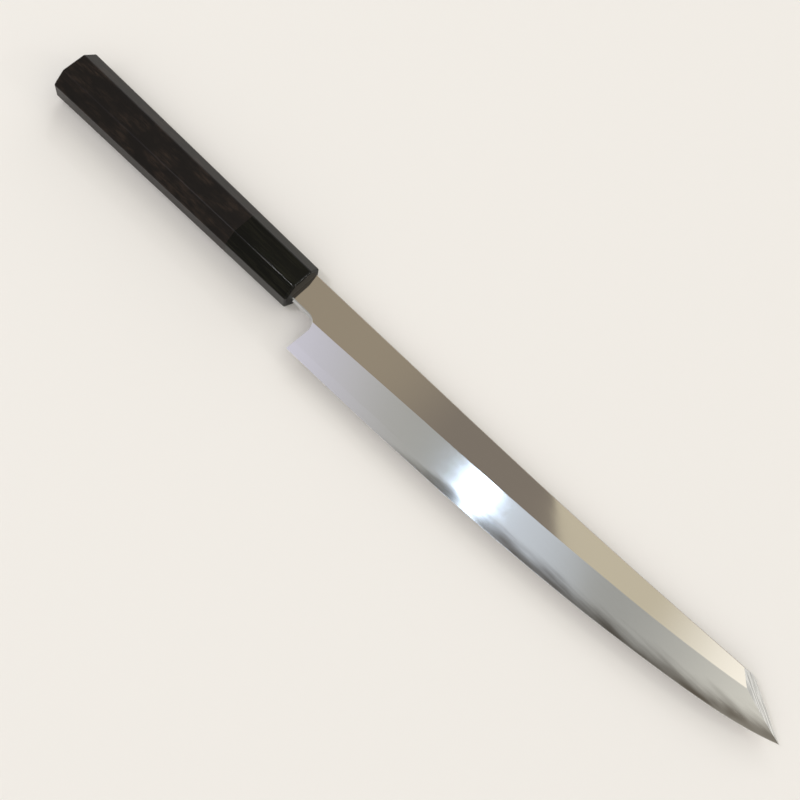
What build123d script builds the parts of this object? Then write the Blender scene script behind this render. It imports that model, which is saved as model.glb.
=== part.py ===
"""Long single-bevel slicing knife with a clipped point: a two-layer forged blade in an octagonal handle.

Millimetres. X runs to the point, Y to the spine and Z up out of the ground front face. The knife lies
on the lower flat of its handle at Z = 0, and the origin is under the middle of its outline.
Along the knife, sizes are measured from the mouth, where the blade leaves the ferrule, and across
it from the handle's axis.
"""

import os

from build123d import *

# Handle: an ebony grip behind a horn ferrule, both cut from one tapered octagon
ebony_length = 110.0
ferrule_length = 37.0
butt_height = 24.8
butt_thickness = 19.0
mouth_height = 21.4
mouth_thickness = 18.8
facet_height_share = 0.25
facet_thickness_share = 0.28
handle_edge_radius = 1.1

# Tenon of the grip in the ferrule, and the drilled way for the tang
tenon_diameter = 15.0
tenon_length = 14.0
bore_diameter = 10.0
bore_end_gap = 1.0
drill_point_length = 3.0
bed_gap = 0.3

# Blade, seen from the front
neck_length = 14.8
edge_length = 264.5
spine_rise = 8.95
corner_rise = 13.9
neck_drop = 6.9
shinogi_drop = 8.55
shinogi_end_rise = 7.3
heel_drop = 24.4
tip_drop = 0.4
clip_run = 25.0
clip_corner_radius = 8.0

# Blade, seen from the spine
neck_thickness = 3.8
point_thickness = 1.7
edge_thickness = 0.15
spine_chamfer = 0.3

# Choil: the curved notch behind the heel, with its broken edges
choil_radius = 5.5
choil_lean = 2.0
choil_front_chamfer = 0.45
choil_back_chamfer = 0.25

# Third facet, ground along the clipped point
facet_spine_run = 30.6
facet_spine_rise = 13.3
facet_shinogi_run = 24.5

# Hard steel layer on the back, and the hollow ground into it
layer_at_neck = 1.15
layer_at_point = 0.55
layer_seam = 6.0
hollow_wheel_radius = 260.0
hollow_edge_rim = 1.3
hollow_spine_rim = 2.2
hollow_heel_run = 5.0
hollow_tip_run = 13.0
hollow_run_in = 14.0

# Tang, forged in one with the soft layer
shoulder_depth = 3.0
tang_length = 102.0
tang_root_height = 9.6
tang_root_thickness = 3.4
tang_end_height = 5.0
tang_end_thickness = 2.4

# One overrun serves all cuts
overrun = 1.0

# Outline of the blade at stations along it: how far along from the mouth to the tip, then the share of
# the spine's rise, of the bevel line's rise and of the edge's rise reached there
station_shares = (
    (0.053, 0.000, 0.000, 0.000),
    (0.204, 0.050, 0.104, 0.017),
    (0.329, 0.092, 0.192, 0.050),
    (0.451, 0.162, 0.276, 0.108),
    (0.573, 0.285, 0.394, 0.198),
    (0.691, 0.480, 0.545, 0.323),
    (0.809, 0.745, 0.748, 0.496),
    (0.863, 0.872, 0.869, 0.592),
    (0.913, 0.998, 1.002, 0.703),
    (0.956, 1.115, 1.135, 0.829),
    (1.000, 1.235, 1.285, 1.000),
    (1.038, 1.345, 1.420, 1.172),
)

# Rounded heel end of the hollow: share of its run-in, then share of the full width reached there
hollow_heel_shares = (
    (0.00, 0.35),
    (0.12, 0.64),
    (0.32, 0.85),
    (0.60, 0.96),
    (1.00, 1.00),
)

# Values that follow from the sizes above
handle_length = ebony_length + ferrule_length
blade_span = neck_length + edge_length
bore_depth = shoulder_depth + tang_length + bore_end_gap
overall_length = handle_length + blade_span
mouth_x = handle_length - overall_length / 2
axis_y = (heel_drop - corner_rise) / 2
axis_z = mouth_thickness / 2
back = -neck_thickness / 2


def across(along):
    """Plane square to the knife at a distance from the mouth: local X to the spine, local Y upwards."""
    return Plane(origin=(mouth_x + along, axis_y, axis_z), x_dir=(0, 1, 0), z_dir=(1, 0, 0))


def plan(height=0.0):
    """Plane seen from the front: local X along the knife from the mouth, local Y from its axis."""
    return Plane(origin=(mouth_x, axis_y, axis_z + height))


def thickness(along):
    """Thickness of the blade at its spine and bevel line, which tapers evenly to the point."""
    return neck_thickness + (point_thickness - neck_thickness) * along / blade_span


def outline(row):
    """Distance along and the heights of spine, bevel line and edge at one station."""
    along, spine_share, shinogi_share, edge_share = row
    spine = spine_rise + (corner_rise - spine_rise) * spine_share
    shinogi = -shinogi_drop + (shinogi_end_rise + shinogi_drop) * shinogi_share
    edge = -heel_drop + (heel_drop - tip_drop) * edge_share
    return along * blade_span, spine, shinogi, edge


def clip_height(along):
    """Height of the clipped point's straight end at a distance from the mouth."""
    return -tip_drop + (blade_span - along) * (corner_rise + tip_drop) / clip_run


def blade_section(along, spine, shinogi, edge):
    """Section of the blade: flat back, flat upper face, one bevel, and a spine with broken corners."""
    front = back + thickness(along)
    spine_flank = spine - spine_chamfer
    with BuildSketch(across(along)) as section:
        with BuildLine():
            Polyline(
                (spine_flank, back),
                (spine, back + spine_chamfer),
                (spine, front - spine_chamfer),
                (spine_flank, front),
                (shinogi, front),
                (edge, back + edge_thickness),
                (edge, back),
                close=True,
            )
        make_face()
    return section.sketch


def handle_section(along, height, thick):
    """Octagonal section of the handle, run on a little below the level where its lower flat is cut."""
    side = height / 2
    flat = side - height * facet_height_share
    low = -axis_z
    top = low + thick
    slope = thick * facet_thickness_share
    foot = flat - (side - flat) * overrun / slope
    with BuildSketch(across(along)) as section:
        with BuildLine():
            Polyline(
                (foot, low - overrun),
                (side, low + slope),
                (side, top - slope),
                (flat, top),
                (-flat, top),
                (-side, top - slope),
                (-side, low + slope),
                (-foot, low - overrun),
                close=True,
            )
        make_face()
    return section.sketch


def bar_section(along, height, thick, rise=0.0):
    """Rectangular section of the neck, the tang or a slot that takes one of them."""
    with BuildSketch(across(along)) as section:
        with Locations((rise, 0)):
            Rectangle(height, thick)
    return section.sketch


def round_section(along, diameter):
    """Circular section on the handle's axis."""
    with BuildSketch(across(along)) as section:
        Circle(diameter / 2)
    return section.sketch


def slot_section():
    """Slot behind the mouth recess, an even gap wider than the root of the tang."""
    root_gap = 2 * bed_gap
    return bar_section(
        tenon_length - ferrule_length, tang_root_height + root_gap, tang_root_thickness + root_gap
    )


def recess_section():
    """Recess in the mouth, an even gap wider than the neck."""
    neck_gap = 2 * bed_gap
    neck_height = spine_rise + neck_drop
    neck_rise = (spine_rise - neck_drop) / 2
    return bar_section(-shoulder_depth, neck_height + neck_gap, neck_thickness + neck_gap, neck_rise)


def bore_profile():
    """Half section of the drilled way for the tang, with the cone its drill leaves."""
    radius = bore_diameter / 2
    start = tenon_length - ferrule_length
    with BuildSketch(plan()) as section:
        with BuildLine():
            Polyline(
                (start, 0),
                (start, radius),
                (-bore_depth, radius),
                (-bore_depth - drill_point_length, 0),
                close=True,
            )
        make_face()
    return section.sketch


def outline_at(along):
    """Heights of spine and edge at any distance from the mouth, read between two stations."""
    for near, far in zip(rows, rows[1:]):
        if along <= far[0]:
            break
    share = (along - near[0]) / (far[0] - near[0])
    return near[1] + (far[1] - near[1]) * share, near[3] + (far[3] - near[3]) * share


def hollow_section(along, width_share):
    """Segment that the wheel takes out of the back between its two flat rims."""
    spine, edge = outline_at(along)
    high = min(spine, clip_height(along)) - hollow_spine_rim
    low = edge + hollow_edge_rim
    middle = (high + low) / 2
    half = (high - low) / 2 * width_share
    depth = half**2 / (2 * hollow_wheel_radius)
    with BuildSketch(across(along)) as section:
        with BuildLine():
            ThreePointArc((middle - half, back), (middle, back + depth), (middle + half, back))
            Polyline(
                (middle + half, back),
                (middle + half, back - overrun),
                (middle - half, back - overrun),
                (middle - half, back),
            )
        make_face()
    return section.sketch


def choil_section(height):
    """Region below the neck and behind the heel that is cut away, with its rounded inner corner."""
    lean_slope = choil_lean / (heel_drop - neck_drop)
    with BuildSketch(plan(height)) as section:
        with BuildLine():
            Polyline(
                (-shoulder_depth - overrun, -neck_drop),
                (neck_length + choil_lean, -neck_drop),
                (neck_length - lean_slope * overrun, -heel_drop - overrun),
                (-shoulder_depth - overrun, -heel_drop - overrun),
                close=True,
            )
        make_face()
        fillet(section.vertices().sort_by(Axis.X)[-1], choil_radius)
    return section.sketch


rows = [outline(row) for row in station_shares]

# Octagonal handle, one tapered blank for both of its pieces
with BuildPart() as handle_blank:
    butt_section = handle_section(-handle_length, butt_height, butt_thickness)
    mouth_section = handle_section(0, mouth_height, mouth_thickness)
    loft([butt_section, mouth_section], ruled=True)
    split(bisect_by=Plane.XY, keep=Keep.TOP)
    fillet(handle_blank.edges(), handle_edge_radius)

# Whole blade before it is split in two layers: outline and bevel in one loft
with BuildPart() as blade_blank:
    sections = [blade_section(-shoulder_depth, *rows[0][1:])]
    sections += [blade_section(*row) for row in rows]
    loft(sections)

    # Choil: below the neck and behind the heel
    extrude(choil_section(back - overrun), amount=neck_thickness + 2 * overrun, mode=Mode.SUBTRACT)

    # Straight clip from the spine down to the tip, with an eased corner
    clip_start = blade_span - clip_run
    run_out = clip_run / 2
    with BuildSketch(plan(back - overrun)) as clip:
        with BuildLine():
            Polyline(
                (clip_start - run_out, corner_rise),
                (clip_start, corner_rise),
                (blade_span + run_out, clip_height(blade_span + run_out)),
                (blade_span + run_out, corner_rise + run_out),
                (clip_start - run_out, corner_rise + run_out),
                close=True,
            )
        make_face()
        fillet(clip.vertices().sort_by_distance((clip_start, corner_rise))[0], clip_corner_radius)
    extrude(amount=neck_thickness + 2 * overrun, mode=Mode.SUBTRACT)

    # Third facet, ground flat from the upper face and the bevel down to the tip
    back_plane = plan(back)
    spine_along = blade_span - facet_spine_run
    shinogi_along = blade_span - facet_shinogi_run
    on_spine = back_plane.from_local_coords((spine_along, facet_spine_rise, thickness(spine_along)))
    on_shinogi = back_plane.from_local_coords((shinogi_along, shinogi_end_rise, thickness(shinogi_along)))
    on_tip = back_plane.from_local_coords((blade_span, -tip_drop, edge_thickness))
    facet_normal = (on_spine - on_tip).cross(on_shinogi - on_tip)
    facet_plane = Plane(origin=on_tip, x_dir=on_spine - on_tip, z_dir=facet_normal)
    split(bisect_by=facet_plane, keep=Keep.BOTTOM)

    # Broken edges round the neck and the choil
    front_face = choil_section(-back - choil_front_chamfer)
    extrude(front_face, amount=choil_front_chamfer + overrun, taper=-45, mode=Mode.SUBTRACT)
    back_face = choil_section(back + choil_back_chamfer)
    extrude(back_face, amount=-(choil_back_chamfer + overrun), taper=-45, mode=Mode.SUBTRACT)

# Hard steel layer: everything behind the weld, from its seam in the neck to the point
weld_at_neck = back_plane.from_local_coords((0, 0, layer_at_neck))
weld_at_point = back_plane.from_local_coords((blade_span, 0, layer_at_point))
weld_run = weld_at_point - weld_at_neck
weld_plane = Plane(origin=weld_at_neck, x_dir=weld_run, z_dir=weld_run.cross(Vector(0, 1, 0)))
with BuildPart() as steel_blank:
    add(blade_blank.part)
    split(bisect_by=weld_plane, keep=Keep.BOTTOM)
    split(bisect_by=across(layer_seam), keep=Keep.TOP)

# Hard steel layer with its hollow: one long shallow segment of the wheel, rounded off at the heel
with BuildPart() as cutting_steel:
    add(steel_blank.part)
    hollow_start = neck_length + hollow_heel_run
    hollow_end = blade_span - hollow_tip_run
    hollow_sections = []
    for run_share, width_share in hollow_heel_shares:
        hollow_sections.append(hollow_section(hollow_start + hollow_run_in * run_share, width_share))
    for row in rows:
        if hollow_start + hollow_run_in < row[0] < hollow_end:
            hollow_sections.append(hollow_section(row[0], 1))
    hollow_sections.append(hollow_section(hollow_end, 1))
    loft(hollow_sections, mode=Mode.SUBTRACT)

# Soft layer with the neck, the shoulders and the tang
with BuildPart() as soft_iron_body:
    add(blade_blank.part)
    add(steel_blank.part, mode=Mode.SUBTRACT)
    tang_root = bar_section(-shoulder_depth, tang_root_height, tang_root_thickness)
    tang_end = bar_section(-shoulder_depth - tang_length, tang_end_height, tang_end_thickness)
    loft([tang_end, tang_root])

# Horn ferrule: slotted for the tang, recessed at the mouth for the neck, bored behind for the tenon
slot_length = ferrule_length - tenon_length - shoulder_depth
with BuildPart() as horn_ferrule:
    add(handle_blank.part)
    split(bisect_by=across(-ferrule_length), keep=Keep.TOP)
    extrude(round_section(-ferrule_length, tenon_diameter), amount=tenon_length, mode=Mode.SUBTRACT)
    extrude(slot_section(), amount=slot_length, mode=Mode.SUBTRACT)
    extrude(recess_section(), amount=shoulder_depth, mode=Mode.SUBTRACT)

# Ebony grip with its tenon, drilled for the tang
handle_axis = Axis((mouth_x, axis_y, axis_z), (1, 0, 0))
with BuildPart() as ebony_handle:
    add(handle_blank.part)
    split(bisect_by=across(-ferrule_length), keep=Keep.BOTTOM)
    extrude(round_section(-ferrule_length, tenon_diameter), amount=tenon_length)
    revolve(bore_profile(), axis=handle_axis, mode=Mode.SUBTRACT)

# Resin bed: fills the bore, the slot and the recess round the tang, and seals the mouth
with BuildPart() as tang_resin:
    revolve(bore_profile(), axis=handle_axis)
    extrude(slot_section(), amount=slot_length)
    extrude(recess_section(), amount=shoulder_depth)
    add(soft_iron_body.part, mode=Mode.SUBTRACT)

soft_iron_body.part.label = "soft_iron_body"
cutting_steel.part.label = "cutting_steel"
horn_ferrule.part.label = "horn_ferrule"
ebony_handle.part.label = "ebony_handle"
tang_resin.part.label = "tang_resin"

os.makedirs("parts", exist_ok=True)
export_step(soft_iron_body.part, "parts/soft_iron_body.step")
export_step(cutting_steel.part, "parts/cutting_steel.step")
export_step(horn_ferrule.part, "parts/horn_ferrule.step")
export_step(ebony_handle.part, "parts/ebony_handle.step")
export_step(tang_resin.part, "parts/tang_resin.step")
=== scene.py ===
"""Looks of a long single-bevel slicing knife with a clipped point, dressed over its CAD solids.

Metres. X runs to the point, Y to the spine and Z up out of the ground front face, as in the solids.
Sizes in millimetres are turned into metres where they are used.
"""

import logging
import math
from dataclasses import dataclass, field
from enum import Enum

import bpy
from mathutils import Matrix, Vector


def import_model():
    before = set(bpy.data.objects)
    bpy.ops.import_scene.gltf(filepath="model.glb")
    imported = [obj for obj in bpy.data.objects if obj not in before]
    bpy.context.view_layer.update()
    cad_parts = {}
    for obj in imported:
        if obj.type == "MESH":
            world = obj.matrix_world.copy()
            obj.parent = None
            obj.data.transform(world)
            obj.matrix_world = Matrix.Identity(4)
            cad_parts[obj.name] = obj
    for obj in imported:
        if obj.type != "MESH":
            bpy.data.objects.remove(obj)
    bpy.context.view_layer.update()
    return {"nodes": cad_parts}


LOG = logging.getLogger("slicing_knife")
MM = 0.001

# Numbers of a mix node's sockets: its share, and two inputs and an output for each kind of value
SHARE = 0
COLOUR_FIRST, COLOUR_SECOND, COLOUR_RESULT = 6, 7, 2
NUMBER_FIRST, NUMBER_SECOND, NUMBER_RESULT = 2, 3, 0

Tree = bpy.types.NodeTree
Node = bpy.types.Node
Socket = bpy.types.NodeSocket
Colour = tuple[float, float, float, float]
Point = tuple[float, float, float]
Range = tuple[float, float]
Value = Socket | Colour | float


class Grain(Enum):
    """Heading of worked or grown lines, in degrees from the knife's length, seen from the front."""

    ALONG_KNIFE = 0.0
    ACROSS_KNIFE = 90.0
    ALONG_CLIP = -29.7


def linear(code: str, strength: float = 1.0) -> Colour:
    """Turns an sRGB hex colour into the linear colour that shaders take.

    Args:
        code: colour such as "#8c8478".
        strength: factor on the linear values.

    Returns:
        Linear red, green, blue and an alpha of 1.
    """
    channels = []
    for start in (1, 3, 5):
        value = int(code[start:start + 2], 16) / 255
        value = value / 12.92 if value <= 0.04045 else ((value + 0.055) / 1.055) ** 2.4
        channels.append(value * strength)
    return (*channels, 1.0)


def add_node(
    tree: Tree,
    kind: str,
    inputs: dict[str | int, object] | None = None,
    **settings: object,
) -> Node:
    """Adds one node with its settings and its inputs.

    Args:
        tree: node tree to add to.
        kind: Blender's name for the node type.
        inputs: a socket to link or a value to set, by the name or number of the input.
        settings: values set on the node itself.

    Returns:
        The new node.
    """
    node = tree.nodes.new(kind)
    for name, value in settings.items():
        setattr(node, name, value)
    for name, value in (inputs or {}).items():
        if isinstance(value, Socket):
            tree.links.new(value, node.inputs[name])
        else:
            node.inputs[name].default_value = value
    return node


def new_material(name: str, **constants: object) -> tuple[bpy.types.Material, Node]:
    """Makes an empty node material with one shader joined to its output.

    Args:
        name: name of the real material and its finish.
        constants: values that are the same all over the surface, by socket name with _ for spaces.

    Returns:
        The material and its shader.
    """
    material = bpy.data.materials.new(name)
    material.use_nodes = True
    tree = material.node_tree
    tree.nodes.clear()
    fixed = {socket.replace("_", " "): value for socket, value in constants.items()}
    shader = add_node(tree, "ShaderNodeBsdfPrincipled", fixed)
    add_node(tree, "ShaderNodeOutputMaterial", {"Surface": shader.outputs["BSDF"]})
    return material, shader


@dataclass(frozen=True)
class Pattern:
    """Noise drawn out into lines or patches, measured on the object.

    Attributes:
        spacing: real distance between lines, in millimetres.
        stretch: how many times longer a line is than it is wide.
        grain: heading of the lines.
        detail: octaves of finer lines.
        roughness: strength of the finer lines.
    """

    spacing: float
    stretch: float = 1.0
    grain: Grain = Grain.ALONG_KNIFE
    detail: float = 2.0
    roughness: float = 0.5

    def drawn(self, tree: Tree) -> Socket:
        """Adds the pattern to a tree.

        Args:
            tree: node tree to add to.

        Returns:
            The socket with the noise, from 0 to 1 and mostly near 0.5.
        """
        place = add_node(tree, "ShaderNodeTexCoord")
        width = self.spacing * MM
        mapping = add_node(
            tree,
            "ShaderNodeMapping",
            {
                "Vector": place.outputs["Object"],
                "Rotation": (0.0, 0.0, math.radians(self.grain.value)),
                "Scale": (width * self.stretch, width, width),
            },
            vector_type="TEXTURE",
        )
        noise = {
            "Vector": mapping.outputs["Vector"],
            "Scale": 1.0,
            "Detail": self.detail,
            "Roughness": self.roughness,
        }
        return add_node(tree, "ShaderNodeTexNoise", noise).outputs["Fac"]


@dataclass(frozen=True)
class BladeForm:
    """Sizes of the blade, in millimetres, that its finishes follow."""

    mouth: float = -66.15
    span: float = 279.3
    back: float = 7.5
    weld_at_neck: float = 1.15
    weld_at_point: float = 0.55
    bevel_slope: float = 0.165
    edge_thickness: float = 0.15
    honed_width: float = 0.15

    @property
    def point(self) -> float:
        """Place of the point along the knife."""
        return self.mouth + self.span

    def above_weld(self, tree: Tree, x: Socket, z: Socket) -> Socket:
        """Distance up the bevel from the weld between the two steels.

        Args:
            tree: node tree to add to.
            x: socket with the place along the knife, in metres.
            z: socket with the height, in metres.

        Returns:
            The socket with the distance in millimetres, less than zero on the hard steel.
        """
        slope = (self.weld_at_point - self.weld_at_neck) / self.span
        at_origin = (self.back + self.weld_at_neck - slope * self.mouth) * MM
        line = {0: x, 1: slope, 2: at_origin}
        weld = add_node(tree, "ShaderNodeMath", line, operation="MULTIPLY_ADD")
        over = {0: z, 1: weld.outputs[0]}
        rise = add_node(tree, "ShaderNodeMath", over, operation="SUBTRACT")
        ground = {0: rise.outputs[0], 1: self.bevel_slope * MM}
        return add_node(tree, "ShaderNodeMath", ground, operation="DIVIDE").outputs[0]


@dataclass(frozen=True)
class SmokyBorder:
    """Upper border of the dark hard steel, which wanders up and down the bevel like smoke.

    The darkness is partly the steel's own and partly painted reflection of dark surroundings.

    Places along the knife are measured from its middle to the point, and heights up the bevel from
    the weld, all in millimetres.

    Attributes:
        start: place where the dark steel begins to show.
        clear: place where it shows in full strength.
        full: place where it has come up to its whole height.
        climb: how much lower it stands at its start.
        deepen_from: place from which it comes up again towards the point.
        deepen: how much higher it stands at the point.
        top: height at which nothing is dark, with the wander added.
        foot: height at which all is dark, with the wander added.
        drift: slow wander of the border.
        drift_height: how far the drift moves it.
        smears: thin lines that the stones drag out of it.
        smear_height: how far the smears move it.
        clouds: paler patches in the dark.
        cloud_contrast: values of the clouds between which the dark deepens.
        faintest: share of dark left in the palest cloud.
    """

    start: float = 0.0
    clear: float = 10.0
    full: float = 60.0
    climb: float = 5.5
    deepen_from: float = 165.0
    deepen: float = 4.0
    top: float = 7.0
    foot: float = 0.0
    drift: Pattern = Pattern(5.0, 6.0, detail=3.0)
    drift_height: float = 6.5
    smears: Pattern = Pattern(1.2, 25.0)
    smear_height: float = 2.0
    clouds: Pattern = Pattern(7.0, 3.0)
    cloud_contrast: Range = (0.35, 0.65)
    faintest: float = 0.8

    def share(self, tree: Tree, x: Socket, rise: Socket, point: float) -> Socket:
        """Share of the dark hard steel, whose darkness is partly painted reflection.

        Args:
            tree: node tree to add to.
            x: socket with the place along the knife, in metres.
            rise: socket with the distance above the weld, in millimetres.
            point: place of the point along the knife, in millimetres.

        Returns:
            The socket with the share.
        """
        border = {
            "Value": self.height(tree, x, rise, point),
            "From Min": self.top,
            "From Max": self.foot,
        }
        below = add_node(tree, "ShaderNodeMapRange", border, interpolation_type="SMOOTHSTEP")
        uneven = {
            "Value": self.clouds.drawn(tree),
            "From Min": self.cloud_contrast[0],
            "From Max": self.cloud_contrast[1],
            "To Min": self.faintest,
            "To Max": 1.0,
        }
        depth = add_node(tree, "ShaderNodeMapRange", uneven, interpolation_type="SMOOTHSTEP")
        fade = {"Value": x, "From Min": self.start * MM, "From Max": self.clear * MM}
        shown = add_node(tree, "ShaderNodeMapRange", fade, interpolation_type="SMOOTHSTEP")
        clouded = {0: below.outputs["Result"], 1: depth.outputs["Result"]}
        dark = add_node(tree, "ShaderNodeMath", clouded, operation="MULTIPLY")
        whole = {0: dark.outputs[0], 1: shown.outputs["Result"]}
        return add_node(tree, "ShaderNodeMath", whole, operation="MULTIPLY").outputs[0]

    def height(self, tree: Tree, x: Socket, rise: Socket, point: float) -> Socket:
        """Distance above the weld with the border's climb and wander added to it.

        Args:
            tree: node tree to add to.
            x: socket with the place along the knife, in metres.
            rise: socket with the distance above the weld, in millimetres.
            point: place of the point along the knife, in millimetres.

        Returns:
            The socket with the distance, in millimetres.
        """
        starting = {
            "Value": x,
            "From Min": self.start * MM,
            "From Max": self.full * MM,
            "To Min": self.climb,
            "To Max": 0.0,
        }
        climb = add_node(tree, "ShaderNodeMapRange", starting, interpolation_type="SMOOTHSTEP")
        ending = {
            "Value": x,
            "From Min": self.deepen_from * MM,
            "From Max": point * MM,
            "To Min": 0.0,
            "To Max": -self.deepen,
        }
        deepen = add_node(tree, "ShaderNodeMapRange", ending)
        both = {0: climb.outputs["Result"], 1: deepen.outputs["Result"]}
        shift = add_node(tree, "ShaderNodeMath", both)
        height = add_node(tree, "ShaderNodeMath", {0: shift.outputs[0], 1: rise}).outputs[0]
        for pattern, reach in ((self.drift, self.drift_height), (self.smears, self.smear_height)):
            moved = {0: pattern.drawn(tree), 1: reach, 2: height}
            height = add_node(tree, "ShaderNodeMath", moved, operation="MULTIPLY_ADD").outputs[0]
        return height


@dataclass(frozen=True)
class Surface:
    """Colour and roughness of one ground or polished surface of the blade."""

    tint: Value
    roughness: Value

    def covered(self, tree: Tree, over: "Surface", share: Socket) -> "Surface":
        """Lays another surface over this one by a share.

        Args:
            tree: node tree to add to.
            over: surface at share 1.
            share: socket with the share.

        Returns:
            The mixed surface.
        """
        tints = {SHARE: share, COLOUR_FIRST: self.tint, COLOUR_SECOND: over.tint}
        tint = add_node(tree, "ShaderNodeMix", tints, data_type="RGBA")
        levels = {SHARE: share, NUMBER_FIRST: self.roughness, NUMBER_SECOND: over.roughness}
        roughness = add_node(tree, "ShaderNodeMix", levels)
        return Surface(tint.outputs[COLOUR_RESULT], roughness.outputs[NUMBER_RESULT])


@dataclass(frozen=True)
class ForgedBladeSteel:
    """Soft iron forge-welded to hard steel, ground, stone polished and buffed.

    To the eye the flat is a warm mirror with a faint wave in it, and the bevel a cool, slightly
    misty mirror. The hard steel shows from mid-blade on as a darker smoky band along the edge, with
    a hair of honed edge below it; its darkness is partly its own and partly painted reflection of
    dark surroundings. The third facet and the hollow back keep the lines of the wheel.

    Leans are parts of the unit normal, contrasts are values of a pattern between which a finish
    changes, shades are factors on a tint, and heights and depths are in millimetres.
    """

    form: BladeForm
    border: SmokyBorder = SmokyBorder()
    flat_tint: str = "#b4aaa1"
    bevel_tint: str = "#dfe2e4"
    # Dark tint of the hard steel: partly its own, partly painted reflection of dark surroundings
    edge_tint_and_painted_reflection: str = "#6a655f"
    honed_tint: str = "#e2e4e6"
    facet_tint: str = "#e2e4e7"
    hollow_tint: str = "#b4b3b0"
    flat_roughness: Range = (0.04, 0.065)
    bevel_roughness: Range = (0.07, 0.12)
    edge_roughness: float = 0.08
    honed_roughness: float = 0.22
    facet_roughness: float = 0.20
    hollow_roughness: Range = (0.20, 0.34)
    bevel_lean: Range = (-0.04, -0.07)
    facet_lean: Range = (0.045, 0.075)
    back_lean: float = -0.9
    hollow_height: Range = (0.01, 0.05)
    polish_wave: Pattern = Pattern(24.0, 1.6, detail=1.0)
    polish_wave_height: float = 0.03
    buffed_patches: Pattern = Pattern(16.0, 2.5, detail=3.0)
    buffed_contrast: Range = (0.3, 0.7)
    # Lines left by the stones run along the knife, and are drawn about five times too wide
    stone_lines: Pattern = Pattern(0.3, 90.0, detail=3.0, roughness=0.6)
    stone_contrast: Range = (0.25, 0.75)
    stone_line_strength: float = 0.05
    stone_line_depth: float = 0.01
    # Wheel lines run down the facet to the point, and are drawn about three times too wide
    facet_lines: Pattern = Pattern(0.45, 60.0, Grain.ALONG_CLIP, roughness=0.6)
    facet_contrast: Range = (0.35, 0.65)
    facet_shades: Range = (0.68, 1.15)
    # Wheel lines cross the hollow back, and are drawn about twice too wide
    hollow_lines: Pattern = Pattern(0.25, 90.0, Grain.ACROSS_KNIFE)
    hollow_contrast: Range = (0.3, 0.7)
    hollow_shades: Range = (0.93, 1.06)

    def build(self, name: str) -> bpy.types.Material:
        """Makes the material.

        Args:
            name: name of the real material and its finish.

        Returns:
            The material.
        """
        material, shader = new_material(name, Metallic=1.0)
        tree = material.node_tree
        place = add_node(tree, "ShaderNodeTexCoord")
        spot = add_node(tree, "ShaderNodeSeparateXYZ", {0: place.outputs["Object"]})
        geometry = add_node(tree, "ShaderNodeNewGeometry")
        normal = add_node(tree, "ShaderNodeSeparateXYZ", {0: geometry.outputs["True Normal"]})
        lines = self.stone_lines.drawn(tree)
        surface = self.polished_flat(tree)
        surface = surface.covered(tree, self.bevel(tree, spot, lines), self.on_bevel(tree, normal))
        surface = surface.covered(tree, self.facet(tree), self.on_facet(tree, normal))
        surface = surface.covered(tree, self.hollow(tree), self.in_hollow(tree, spot, normal))
        tree.links.new(surface.tint, shader.inputs["Base Color"])
        tree.links.new(surface.roughness, shader.inputs["Roughness"])
        tree.links.new(self.relief(tree, lines), shader.inputs["Normal"])
        return material

    def on_bevel(self, tree: Tree, normal: Node) -> Socket:
        """Share of the bevel, which leans to the edge.

        Args:
            tree: node tree to add to.
            normal: node that gives the parts of the normal.

        Returns:
            The socket with the share.
        """
        step = {
            "Value": normal.outputs["Y"],
            "From Min": self.bevel_lean[0],
            "From Max": self.bevel_lean[1],
        }
        return add_node(tree, "ShaderNodeMapRange", step).outputs["Result"]

    def on_facet(self, tree: Tree, normal: Node) -> Socket:
        """Share of the third facet, which leans to the point.

        Args:
            tree: node tree to add to.
            normal: node that gives the parts of the normal.

        Returns:
            The socket with the share.
        """
        step = {
            "Value": normal.outputs["X"],
            "From Min": self.facet_lean[0],
            "From Max": self.facet_lean[1],
        }
        return add_node(tree, "ShaderNodeMapRange", step).outputs["Result"]

    def in_hollow(self, tree: Tree, spot: Node, normal: Node) -> Socket:
        """Share of the hollow back: it looks down and lies above the level of its two flat rims.

        Args:
            tree: node tree to add to.
            spot: node that gives the place on the knife.
            normal: node that gives the parts of the normal.

        Returns:
            The socket with the share.
        """
        step = {
            "Value": spot.outputs["Z"],
            "From Min": (self.form.back + self.hollow_height[0]) * MM,
            "From Max": (self.form.back + self.hollow_height[1]) * MM,
        }
        raised = add_node(tree, "ShaderNodeMapRange", step)
        facing = {0: normal.outputs["Z"], 1: self.back_lean}
        turned = add_node(tree, "ShaderNodeMath", facing, operation="LESS_THAN")
        both = {0: raised.outputs["Result"], 1: turned.outputs[0]}
        return add_node(tree, "ShaderNodeMath", both, operation="MULTIPLY").outputs[0]

    def polished_flat(self, tree: Tree) -> Surface:
        """Buffed flat: broad patches that are a shade less clear.

        Args:
            tree: node tree to add to.

        Returns:
            The surface.
        """
        patches = {
            "Value": self.buffed_patches.drawn(tree),
            "From Min": self.buffed_contrast[0],
            "From Max": self.buffed_contrast[1],
            "To Min": self.flat_roughness[0],
            "To Max": self.flat_roughness[1],
        }
        roughness = add_node(tree, "ShaderNodeMapRange", patches)
        return Surface(linear(self.flat_tint), roughness.outputs["Result"])

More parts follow.
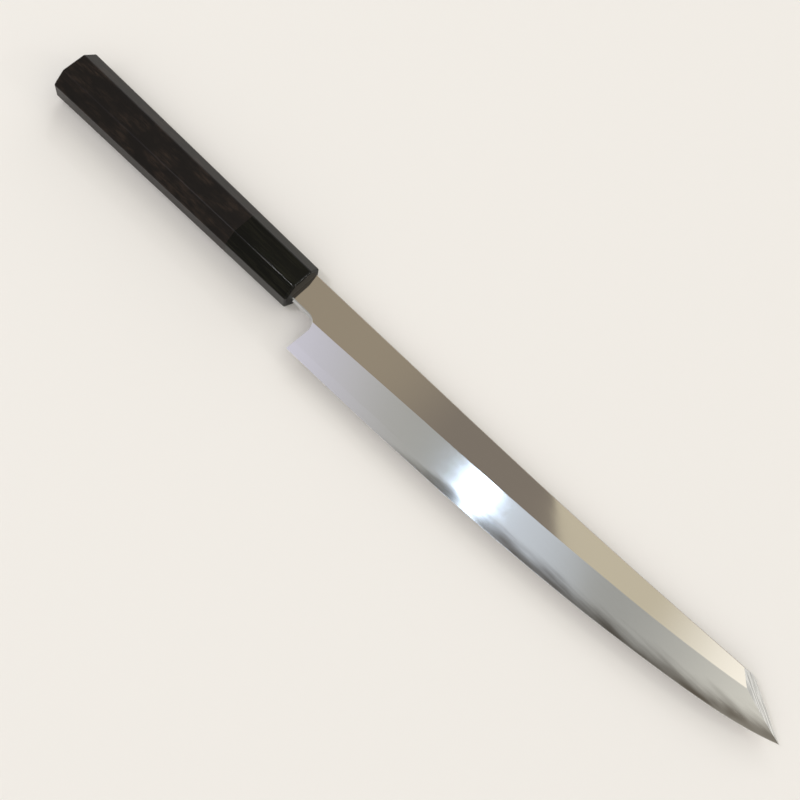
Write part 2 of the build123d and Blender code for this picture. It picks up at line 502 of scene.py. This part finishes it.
    def bevel(self, tree: Tree, spot: Node, lines: Socket) -> Surface:
        """Stone-polished bevel: misty soft iron above, dark hard steel below, and the honed edge.

        The hard steel's dark tint is partly its own and partly painted reflection.

        Args:
            tree: node tree to add to.
            spot: node that gives the place on the knife.
            lines: socket with the lines of the stones.

        Returns:
            The surface.
        """
        streaks = {
            "Value": lines,
            "From Min": self.stone_contrast[0],
            "From Max": self.stone_contrast[1],
            "To Min": self.bevel_roughness[0],
            "To Max": self.bevel_roughness[1],
        }
        misty = add_node(tree, "ShaderNodeMapRange", streaks)
        iron = Surface(linear(self.bevel_tint), misty.outputs["Result"])
        # Dark tint of the hard steel: partly its own, partly painted reflection of dark
        # surroundings
        steel = Surface(linear(self.edge_tint_and_painted_reflection), self.edge_roughness)
        honed = Surface(linear(self.honed_tint), self.honed_roughness)
        x = spot.outputs["X"]
        z = spot.outputs["Z"]
        rise = self.form.above_weld(tree, x, z)
        smoke = self.border.share(tree, x, rise, self.form.point)
        edge_level = self.form.back + self.form.edge_thickness
        honed_height = self.form.honed_width * self.form.bevel_slope
        step = {
            "Value": z,
            "From Min": (edge_level + honed_height) * MM,
            "From Max": (edge_level + honed_height / 2) * MM,
        }
        at_edge = add_node(tree, "ShaderNodeMapRange", step).outputs["Result"]
        return iron.covered(tree, steel, smoke).covered(tree, honed, at_edge)

    def facet(self, tree: Tree) -> Surface:
        """Third facet, with its wheel lines in the colour alone.

        Args:
            tree: node tree to add to.

        Returns:
            The surface.
        """
        lines = self.facet_lines.drawn(tree)
        tint = self.lined(tree, lines, self.facet_contrast, self.facet_tint, self.facet_shades)
        return Surface(tint, self.facet_roughness)

    def hollow(self, tree: Tree) -> Surface:
        """Hollow back, with its wheel lines in both colour and roughness.

        Args:
            tree: node tree to add to.

        Returns:
            The surface.
        """
        lines = self.hollow_lines.drawn(tree)
        tint = self.lined(tree, lines, self.hollow_contrast, self.hollow_tint, self.hollow_shades)
        scratched = {
            "Value": lines,
            "From Min": self.hollow_contrast[0],
            "From Max": self.hollow_contrast[1],
            "To Min": self.hollow_roughness[0],
            "To Max": self.hollow_roughness[1],
        }
        roughness = add_node(tree, "ShaderNodeMapRange", scratched)
        return Surface(tint, roughness.outputs["Result"])

    def lined(
        self, tree: Tree, lines: Socket, contrast: Range, tint: str, shades: Range
    ) -> Socket:
        """Colour with darker and lighter lines.

        Args:
            tree: node tree to add to.
            lines: socket with the pattern of the lines.
            contrast: values of the pattern between which the colour changes.
            tint: colour of the bare metal.
            shades: factors on the colour at those two values.

        Returns:
            The socket with the colour.
        """
        spread = {"Value": lines, "From Min": contrast[0], "From Max": contrast[1]}
        shaded = {
            SHARE: add_node(tree, "ShaderNodeMapRange", spread).outputs["Result"],
            COLOUR_FIRST: linear(tint, shades[0]),
            COLOUR_SECOND: linear(tint, shades[1]),
        }
        return add_node(tree, "ShaderNodeMix", shaded, data_type="RGBA").outputs[COLOUR_RESULT]

    def relief(self, tree: Tree, lines: Socket) -> Socket:
        """Slow wave left by hand polishing, and the stone lines on it.

        Args:
            tree: node tree to add to.
            lines: socket with the lines of the stones.

        Returns:
            The socket with the normal.
        """
        slow = {
            "Height": self.polish_wave.drawn(tree),
            "Strength": 1.0,
            "Distance": self.polish_wave_height * MM,
        }
        waved = add_node(tree, "ShaderNodeBump", slow)
        fine = {
            "Height": lines,
            "Strength": self.stone_line_strength,
            "Distance": self.stone_line_depth * MM,
            "Normal": waved.outputs["Normal"],
        }
        return add_node(tree, "ShaderNodeBump", fine).outputs["Normal"]


@dataclass(frozen=True)
class PolishedHorn:
    """Black buffalo horn, cut and buffed: olive black, faintly streaked, under a hard gloss.

    The sawn end at the mouth is only sanded, and looks dull.
    """

    dark: str = "#0a0a07"
    pale: str = "#1a1a12"
    streaks: Pattern = Pattern(1.4, 14.0, detail=4.0, roughness=0.6)
    streak_contrast: Range = (0.42, 0.75)
    roughness: Range = (0.07, 0.14)
    end_roughness: float = 0.5
    end_lean: Range = (0.85, 0.95)
    ior: float = 1.54
    gloss: float = 0.15

    def build(self, name: str) -> bpy.types.Material:
        """Makes the material.

        Args:
            name: name of the real material and its finish.

        Returns:
            The material.
        """
        material, shader = new_material(name, IOR=self.ior, Specular_IOR_Level=self.gloss)
        tree = material.node_tree
        streaks = self.streaks.drawn(tree)
        spread = {
            "Value": streaks,
            "From Min": self.streak_contrast[0],
            "From Max": self.streak_contrast[1],
        }
        share = add_node(tree, "ShaderNodeMapRange", spread, interpolation_type="SMOOTHSTEP")
        horn = {
            SHARE: share.outputs["Result"],
            COLOUR_FIRST: linear(self.dark),
            COLOUR_SECOND: linear(self.pale),
        }
        colour = add_node(tree, "ShaderNodeMix", horn, data_type="RGBA")
        tree.links.new(colour.outputs[COLOUR_RESULT], shader.inputs["Base Color"])
        tree.links.new(self.finish(tree, streaks), shader.inputs["Roughness"])
        return material

    def finish(self, tree: Tree, streaks: Socket) -> Socket:
        """Roughness of the buffed sides and of the sanded end.

        Args:
            tree: node tree to add to.
            streaks: socket with the streaks of the horn.

        Returns:
            The socket with the roughness.
        """
        buffed = {"Value": streaks, "To Min": self.roughness[0], "To Max": self.roughness[1]}
        sides = add_node(tree, "ShaderNodeMapRange", buffed)
        geometry = add_node(tree, "ShaderNodeNewGeometry")
        normal = add_node(tree, "ShaderNodeSeparateXYZ", {0: geometry.outputs["True Normal"]})
        step = {
            "Value": normal.outputs["X"],
            "From Min": self.end_lean[0],
            "From Max": self.end_lean[1],
        }
        at_end = add_node(tree, "ShaderNodeMapRange", step)
        levels = {
            SHARE: at_end.outputs["Result"],
            NUMBER_FIRST: sides.outputs["Result"],
            NUMBER_SECOND: self.end_roughness,
        }
        return add_node(tree, "ShaderNodeMix", levels).outputs[NUMBER_RESULT]


@dataclass(frozen=True)
class OiledEbony:
    """Ebony, planed, sanded fine and oiled: brown black, mottled redder, under a soft sheen."""

    dark: str = "#15110f"
    brown: str = "#2e251f"
    streaks: Pattern = Pattern(1.3, 6.0, detail=5.0, roughness=0.65)
    streak_contrast: Range = (0.38, 0.66)
    clouds: Pattern = Pattern(6.0, 2.0, detail=3.0, roughness=0.55)
    cloud_contrast: Range = (0.4, 0.66)
    # Pores are vessels cut lengthwise, drawn about three times too wide
    pores: Pattern = Pattern(0.3, 22.0, roughness=0.6)
    pore_contrast: Range = (0.42, 0.34)
    pore_shade: float = 0.5
    pore_strength: float = 0.25
    pore_depth: float = 0.03
    roughness: Range = (0.42, 0.22)
    ior: float = 1.5
    gloss: float = 0.18

    def build(self, name: str) -> bpy.types.Material:
        """Makes the material.

        Args:
            name: name of the real material and its finish.

        Returns:
            The material.
        """
        material, shader = new_material(name, IOR=self.ior, Specular_IOR_Level=self.gloss)
        tree = material.node_tree
        pores = self.pores.drawn(tree)
        tree.links.new(self.figure(tree, pores), shader.inputs["Base Color"])
        sanded = {"Value": pores, "To Min": self.roughness[0], "To Max": self.roughness[1]}
        rough = add_node(tree, "ShaderNodeMapRange", sanded)
        tree.links.new(rough.outputs["Result"], shader.inputs["Roughness"])
        pits = {"Height": pores, "Strength": self.pore_strength, "Distance": self.pore_depth * MM}
        bump = add_node(tree, "ShaderNodeBump", pits)
        tree.links.new(bump.outputs["Normal"], shader.inputs["Normal"])
        return material

    def figure(self, tree: Tree, pores: Socket) -> Socket:
        """Colour of the wood: brown streaks gathered in clouds, and dark pores.

        Args:
            tree: node tree to add to.
            pores: socket with the pore pattern.

        Returns:
            The socket with the colour.
        """
        fine = {
            "Value": self.streaks.drawn(tree),
            "From Min": self.streak_contrast[0],
            "From Max": self.streak_contrast[1],
        }
        broad = {
            "Value": self.clouds.drawn(tree),
            "From Min": self.cloud_contrast[0],
            "From Max": self.cloud_contrast[1],
        }
        streak = add_node(tree, "ShaderNodeMapRange", fine, interpolation_type="SMOOTHSTEP")
        cloud = add_node(tree, "ShaderNodeMapRange", broad, interpolation_type="SMOOTHSTEP")
        both = {0: streak.outputs["Result"], 1: cloud.outputs["Result"]}
        share = add_node(tree, "ShaderNodeMath", both, operation="MULTIPLY")
        wood = {
            SHARE: share.outputs[0],
            COLOUR_FIRST: linear(self.dark),
            COLOUR_SECOND: linear(self.brown),
        }
        colour = add_node(tree, "ShaderNodeMix", wood, data_type="RGBA")
        cut = {
            "Value": pores,
            "From Min": self.pore_contrast[0],
            "From Max": self.pore_contrast[1],
        }
        pitted = {
            SHARE: add_node(tree, "ShaderNodeMapRange", cut).outputs["Result"],
            COLOUR_FIRST: colour.outputs[COLOUR_RESULT],
            COLOUR_SECOND: linear(self.dark, self.pore_shade),
        }
        return add_node(tree, "ShaderNodeMix", pitted, data_type="RGBA").outputs[COLOUR_RESULT]


@dataclass(frozen=True)
class SetResin:
    """Resin poured and set round the tang: near black and dull, with a slight unevenness."""

    tint: str = "#0d0b09"
    roughness: Range = (0.45, 0.65)
    lumps: Pattern = Pattern(0.8, detail=3.0, roughness=0.6)
    lump_height: float = 0.05

    def build(self, name: str) -> bpy.types.Material:
        """Makes the material.

        Args:
            name: name of the real material and its finish.

        Returns:
            The material.
        """
        material, shader = new_material(name, Base_Color=linear(self.tint))
        tree = material.node_tree
        lumps = self.lumps.drawn(tree)
        spread = {"Value": lumps, "To Min": self.roughness[0], "To Max": self.roughness[1]}
        rough = add_node(tree, "ShaderNodeMapRange", spread)
        tree.links.new(rough.outputs["Result"], shader.inputs["Roughness"])
        raised = {"Height": lumps, "Distance": self.lump_height * MM}
        bump = add_node(tree, "ShaderNodeBump", raised)
        tree.links.new(bump.outputs["Normal"], shader.inputs["Normal"])
        return material


@dataclass
class Blade:
    """Two-layer blade: the soft iron body and the hard steel welded to its back."""

    nodes: dict[str, bpy.types.Object]
    form: BladeForm = field(default_factory=BladeForm)

    def dress(self) -> list[str]:
        """Gives both layers their finish.

        Returns:
            Names of the pieces dressed.
        """
        finish = ForgedBladeSteel(self.form).build("stone_polished_forged_steel")
        names = ["soft_iron_body", "cutting_steel"]
        for name in names:
            self.nodes[name].material_slots[0].material = finish
        return names


@dataclass
class Handle:
    """Octagonal handle: the ebony grip, the horn ferrule and the resin round the tang."""

    nodes: dict[str, bpy.types.Object]

    def dress(self) -> list[str]:
        """Gives the three pieces their finishes.

        Returns:
            Names of the pieces dressed.
        """
        finishes = {
            "ebony_handle": OiledEbony().build("oiled_ebony"),
            "horn_ferrule": PolishedHorn().build("polished_buffalo_horn"),
            "tang_resin": SetResin().build("set_resin"),
        }
        for name, finish in finishes.items():
            self.nodes[name].material_slots[0].material = finish
        return list(finishes)


@dataclass(frozen=True)
class Softbox:
    """One soft lamp that hangs level and shines straight down.

    Attributes:
        name: name of the lamp.
        place: place of its middle, in metres.
        width: its size along the knife before it is turned, in metres.
        depth: its size across the knife before it is turned, in metres.
        radiance: brightness of its face, where 1 is white.
        turn: how far it is turned about the upright, in degrees.
        tint: its colour.
    """

    name: str
    place: Point
    width: float
    depth: float
    radiance: float
    turn: float = 0.0
    tint: str = "#ffffff"

    def build(self) -> bpy.types.Object:
        """Makes the lamp.

        Returns:
            The lamp.
        """
        lamp = bpy.data.lights.new(self.name, "AREA")
        lamp.shape = "RECTANGLE"
        lamp.size = self.width
        lamp.size_y = self.depth
        # The watts at which the lamp's face has its radiance
        lamp.energy = self.radiance * math.pi * self.width * self.depth
        lamp.color = linear(self.tint)[:3]
        obj = bpy.data.objects.new(self.name, lamp)
        obj.location = self.place
        obj.rotation_euler = (0.0, 0.0, math.radians(self.turn))
        bpy.context.scene.collection.objects.link(obj)
        return obj


@dataclass(frozen=True)
class Glow:
    """One soft round patch of light on the walls or ceiling of the room.

    Attributes:
        towards: direction of its middle.
        rim_cosine: cosine of the angle from the middle at which it starts.
        core_cosine: cosine of the angle at which it has its whole strength.
        strength: light that it adds there.
        tint: its colour.
    """

    towards: Point
    rim_cosine: float
    core_cosine: float
    strength: float
    tint: str = "#ffffff"

    def added(self, tree: Tree, light: Socket, direction: Socket) -> Socket:
        """Adds the patch to the light of the room.

        Args:
            tree: node tree to add to.
            light: socket with the light so far.
            direction: socket with the direction that is looked in.

        Returns:
            The socket with the light and the patch.
        """
        pair = {0: direction, 1: Vector(self.towards).normalized()}
        cosine = add_node(tree, "ShaderNodeVectorMath", pair, operation="DOT_PRODUCT")
        step = {
            "Value": cosine.outputs["Value"],
            "From Min": self.rim_cosine,
            "From Max": self.core_cosine,
        }
        share = add_node(tree, "ShaderNodeMapRange", step, interpolation_type="SMOOTHSTEP")
        lights = {
            SHARE: share.outputs["Result"],
            COLOUR_FIRST: light,
            COLOUR_SECOND: linear(self.tint, self.strength),
        }
        total = add_node(tree, "ShaderNodeMix", lights, data_type="RGBA", blend_type="ADD")
        return total.outputs[COLOUR_RESULT]


@dataclass
class Studio:
    """Plain pale floor, soft lamps, an even room and the camera at the photograph's angle.

    A polished blade shows the room, so each lamp and glow hangs where one surface mirrors it.
    Sizes and places are in metres, and the lens and its sensor in millimetres.
    """

    floor_radius: float = 6.0
    floor_corners: int = 96
    floor_tint: str = "#f1efec"
    floor_roughness: float = 0.9
    room_tint: str = "#afaca5"
    horizon_tint: str = "#e1dcd6"
    horizon_rise: float = 0.28
    camera_place: Point = (0.064375, -0.163316, 0.476125)
    camera_target: Point = (-0.001163, 0.002425, 0.0)
    camera_up: Point = (-0.683891, 0.654668, 0.322028)
    lens: float = 51.68
    sensor: float = 36.0
    softboxes: tuple[Softbox, ...] = (
        Softbox("bevel_lamp", (0.0485, -0.008, 1.3), 0.034, 0.108, 11.0, tint="#d4e8ff"),
        Softbox("point_side_softbox", (0.339, 0.505, 1.25), 0.32, 0.48, 0.71, 43.6, "#fbffe6"),
        Softbox("facet_lamp", (-0.468, -0.507, 1.3), 0.05, 0.05, 300.0),
        Softbox("mouth_lamp", (1.04, 0.47, 0.72), 0.07, 0.07, 90.0),
        Softbox("spine_lamp", (-0.77, 0.915, 0.76), 0.07, 0.07, 90.0),
    )
    glows: tuple[Glow, ...] = (
        Glow((0.2, -0.62, 0.76), 0.8, 0.97, 0.95),
        Glow((-0.1, 0.85, 0.52), 0.8, 0.97, 1.0),
        Glow((-0.35, -0.33, 0.88), 0.91, 1.0, 0.62, "#e9e0ff"),
        Glow((-0.2, 0.34, 0.92), 0.99, 1.0, 0.2, "#fff6c8"),
        Glow((0.045, 0.03, 1.0), 0.9945, 1.002, 0.48, "#dce9ff"),
        Glow((0.75, 0.1, 0.65), 0.765, 0.885, 0.46, "#fff5e1"),
        Glow((0.31, 0.37, 0.875), 0.9865, 1.0, 1.15, "#dfeeff"),
        Glow((-0.115, -0.05, 0.992), 0.996, 1.0, 0.06, "#fff4e2"),
    )

    def lay_floor(self) -> bpy.types.Object:
        """Makes the round floor that the knife lies on, of matt paper that takes a soft shadow.

        Returns:
            The floor.
        """
        mesh = bpy.data.meshes.new("floor")
        turns = [2 * math.pi * step / self.floor_corners for step in range(self.floor_corners)]
        reach = self.floor_radius
        rim = [(reach * math.cos(turn), reach * math.sin(turn), 0.0) for turn in turns]
        mesh.from_pydata(rim, [], [tuple(range(self.floor_corners))])
        floor = bpy.data.objects.new("floor", mesh)
        bpy.context.scene.collection.objects.link(floor)
        material, _ = new_material(
            "matt_paper", Base_Color=linear(self.floor_tint), Roughness=self.floor_roughness
        )
        mesh.materials.append(material)
        return floor

    def light_room(self) -> bpy.types.World:
        """Makes the room: pale round the horizon and dimmer overhead, with its glows.

        Returns:
            The room.
        """
        world = bpy.data.worlds.new("even_room")
        bpy.context.scene.world = world
        world.use_nodes = True
        tree = world.node_tree
        tree.nodes.clear()
        direction = add_node(tree, "ShaderNodeTexCoord").outputs["Generated"]
        height = add_node(tree, "ShaderNodeSeparateXYZ", {0: direction}).outputs["Z"]
        rise = {"Value": height, "From Min": 0.0, "From Max": self.horizon_rise}
        share = add_node(tree, "ShaderNodeMapRange", rise, interpolation_type="SMOOTHSTEP")
        walls = {
            SHARE: share.outputs["Result"],
            COLOUR_FIRST: linear(self.horizon_tint),
            COLOUR_SECOND: linear(self.room_tint),
        }
        light = add_node(tree, "ShaderNodeMix", walls, data_type="RGBA").outputs[COLOUR_RESULT]
        for glow in self.glows:
            light = glow.added(tree, light, direction)
        back = add_node(tree, "ShaderNodeBackground", {"Color": light, "Strength": 1.0})
        add_node(tree, "ShaderNodeOutputWorld", {"Surface": back.outputs["Background"]})
        return world

    def place_camera(self) -> bpy.types.Object:
        """Makes the camera.

        Returns:
            The camera.
        """
        data = bpy.data.cameras.new("camera")
        data.lens = self.lens
        data.sensor_width = self.sensor
        camera = bpy.data.objects.new("camera", data)
        place = Vector(self.camera_place)
        forward = (Vector(self.camera_target) - place).normalized()
        right = forward.cross(Vector(self.camera_up)).normalized()
        upward = right.cross(forward)
        turn = Matrix((right, upward, -forward)).transposed()
        camera.matrix_world = Matrix.Translation(place) @ turn.to_4x4()
        bpy.context.scene.collection.objects.link(camera)
        bpy.context.scene.camera = camera
        return camera

    def build(self) -> None:
        """Makes the floor, the room, the lamps and the camera."""
        bpy.context.scene.view_settings.view_transform = "Standard"
        self.lay_floor()
        self.light_room()
        for softbox in self.softboxes:
            softbox.build()
        self.place_camera()


def main() -> None:
    """Dresses the knife and sets the studio round it."""
    logging.basicConfig(level=logging.INFO, format="%(name)s: %(message)s")
    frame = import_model()
    for assembly in (Blade(frame["nodes"]), Handle(frame["nodes"])):
        for name in assembly.dress():
            LOG.info("%s: %s dressed", type(assembly).__name__, name)
    Studio().build()
    LOG.info("Studio: floor, lamps, room and camera in place")


if __name__ == "__main__":
    main()
